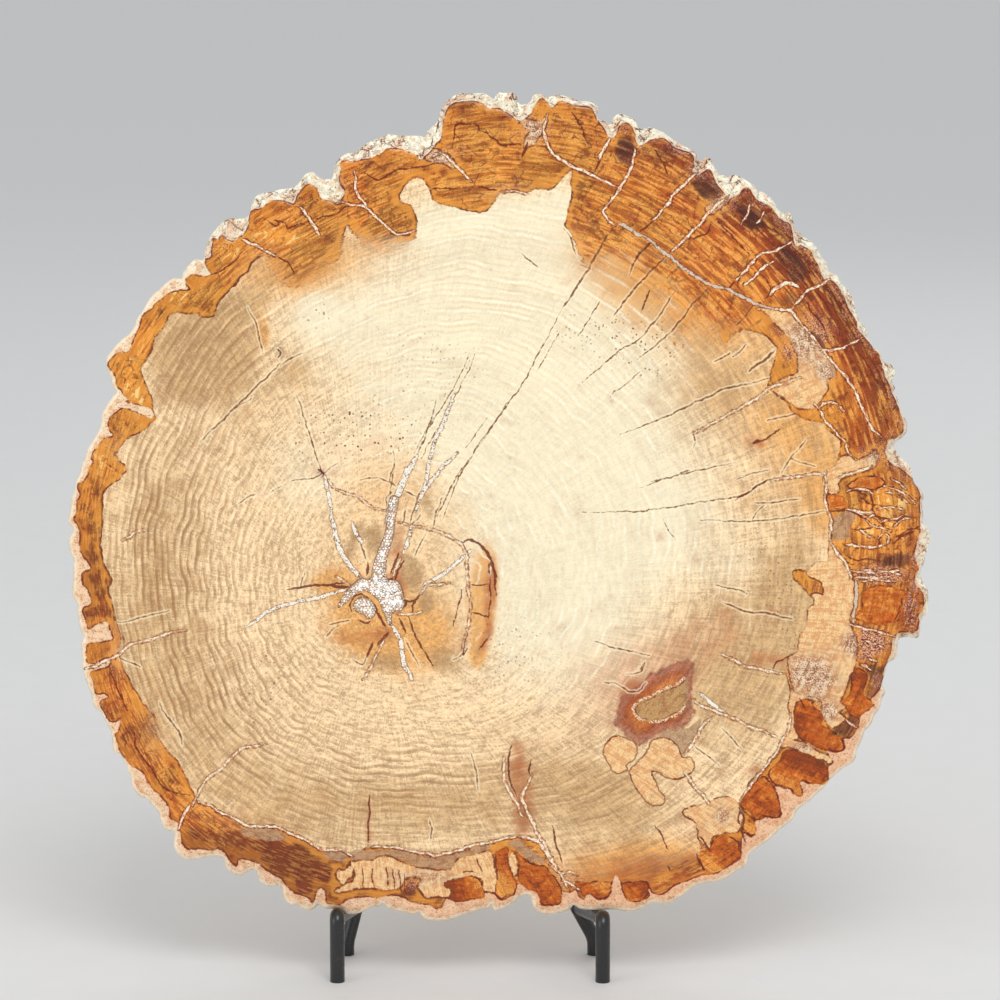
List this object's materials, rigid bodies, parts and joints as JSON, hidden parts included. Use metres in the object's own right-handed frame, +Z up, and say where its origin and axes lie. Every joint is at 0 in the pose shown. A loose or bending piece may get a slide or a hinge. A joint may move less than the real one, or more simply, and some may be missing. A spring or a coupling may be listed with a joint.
{
  "type": "petrified wood slice on stand",
  "caption": "Polished round slice of petrified wood with a rough bark rim and a crystal-lined heart, resting upright on a black bent-rod stand.",
  "frame": {"origin": "centre of the bounding box on the table surface, under the middle of the slice and its stand", "axes": "+X to the right as seen from the polished face, +Y towards the back of the stand, +Z up. The polished face looks along -Y and leans back 10 degrees"},
  "size_m": [0.2799, 0.1202, 0.2834],
  "materials": {
    "petrified_wood": "polished face, sawn back, rough rim",
    "quartz": "small sparkling crystals",
    "black_metal": "satin black"
  },
  "bodies": {
    "root": {"slice": "petrified_wood", "crystal_crust": "quartz", "crystal_pocket": "quartz", "left_prong": "black_metal", "right_prong": "black_metal", "left_leg": "black_metal", "right_leg": "black_metal", "rear_leg": "black_metal"}
  },
  "joints": []
}
